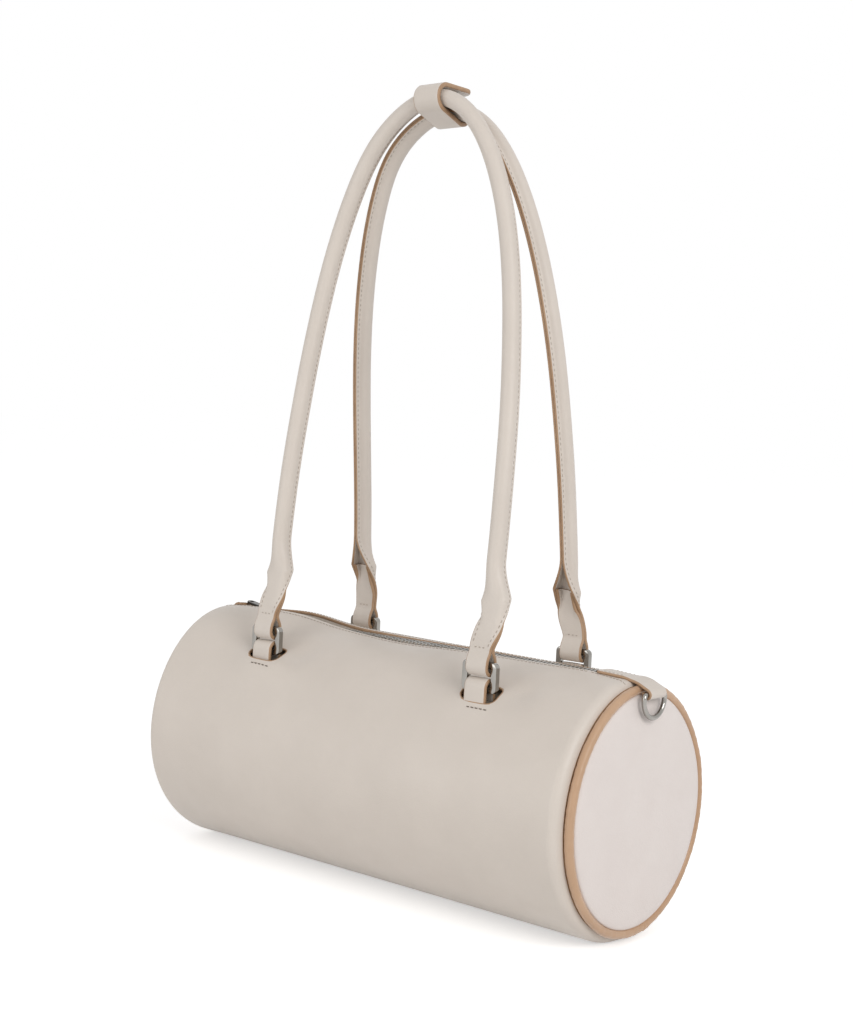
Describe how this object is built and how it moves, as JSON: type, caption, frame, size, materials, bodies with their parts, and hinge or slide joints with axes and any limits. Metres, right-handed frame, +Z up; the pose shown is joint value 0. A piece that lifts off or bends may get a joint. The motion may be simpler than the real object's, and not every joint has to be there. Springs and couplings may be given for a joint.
{
  "type": "barrel bag",
  "caption": "Cylindrical leather shoulder bag with round piped ends, a top zip, rolled handles on metal rings and a snap keeper joining the handles.",
  "frame": {"origin": "middle of the flat strip that the bag stands on, on the floor", "axes": "+X along the bag towards the right end, -Y towards the front, +Z up"},
  "size_m": [0.3768, 0.163, 0.5278],
  "materials": {
    "cream_leather": "smooth, soft sheen",
    "end_leather": "smooth, soft sheen",
    "tan_leather": "painted edge, satin",
    "lining_cloth": "twill",
    "fibre_board": "pressed fibre board",
    "core_cord": "spun cord",
    "zip_cloth": "woven tape",
    "zip_metal": "nickel",
    "dark_nickel": "dark polished nickel",
    "nickel": "polished nickel"
  },
  "bodies": {
    "bag": {"shell": "cream_leather", "lining": "lining_cloth", "base_board": "fibre_board", "end_panel_left": "end_leather", "end_panel_right": "end_leather", "end_board_left": "fibre_board", "end_board_right": "fibre_board", "piping_left": "tan_leather", "piping_right": "tan_leather", "piping_cord_left": "core_cord", "piping_cord_right": "core_cord", "zip_tape_front": "zip_cloth", "zip_tape_back": "zip_cloth", "zip_teeth_front": "zip_metal", "zip_teeth_back": "zip_metal", "zip_stops": "zip_metal", "end_tab_left": "cream_leather", "end_tab_right": "cream_leather", "anchor_tab_front_left": "cream_leather", "anchor_tab_front_right": "cream_leather", "anchor_tab_back_left": "cream_leather", "anchor_tab_back_right": "cream_leather"},
    "slider": {"zip_slider": "dark_nickel"},
    "pull": {"zip_pull": "dark_nickel"},
    "left_d_ring": {"d_ring_left": "nickel"},
    "right_d_ring": {"d_ring_right": "nickel"},
    "front_rings": {"ring_front_left": "nickel", "ring_front_right": "nickel"},
    "back_rings": {"ring_back_left": "nickel", "ring_back_right": "nickel"},
    "handles": {"handle_front": "cream_leather", "handle_back": "cream_leather", "handle_cord_front": "core_cord", "handle_cord_back": "core_cord", "keeper_band": "cream_leather", "snap_stud": "dark_nickel", "snap_eyelet": "dark_nickel"},
    "flap": {"keeper_flap": "cream_leather", "snap_cap": "dark_nickel", "snap_socket": "dark_nickel"}
  },
  "joints": [
    {"name": "zip_slide", "type": "slide", "parent": "bag", "child": "slider", "axis": [1, 0, 0], "range_m": [0, 0.266]},
    {"name": "zip_pull_swing", "type": "hinge", "parent": "slider", "child": "pull", "pos_m": [-0.133, 0, 0.16388], "axis": [0, 1, 0], "range_deg": [0, 170]},
    {"name": "left_d_ring_swing", "type": "hinge", "parent": "bag", "child": "left_d_ring", "pos_m": [-0.18465, 0, 0.1514], "axis": [0, 1, 0], "range_deg": [0, 120]},
    {"name": "right_d_ring_swing", "type": "hinge", "parent": "bag", "child": "right_d_ring", "pos_m": [0.18465, 0, 0.1514], "axis": [0, -1, 0], "range_deg": [0, 120]},
    {"name": "front_rings_swing", "type": "hinge", "parent": "bag", "child": "front_rings", "pos_m": [0, -0.05, 0.14606], "axis": [1, 0, 0], "range_deg": [-35, 35]},
    {"name": "back_rings_swing", "type": "hinge", "parent": "bag", "child": "back_rings", "pos_m": [0, 0.05, 0.14606], "axis": [1, 0, 0], "range_deg": [-35, 35]},
    {"name": "handles_swing", "type": "hinge", "parent": "front_rings", "child": "handles", "pos_m": [0, -0.05, 0.16106], "axis": [1, 0, 0], "range_deg": [-35, 35]},
    {"name": "keeper_flap_open", "type": "hinge", "parent": "handles", "child": "flap", "pos_m": [0, -0.0085, 0.52536], "axis": [1, 0, 0], "range_deg": [0, 120]}
  ],
  "couplings": [
    {"joint": "back_rings_swing", "follows": "front_rings_swing", "ratio": 1},
    {"joint": "handles_swing", "follows": "front_rings_swing", "ratio": -1}
  ]
}
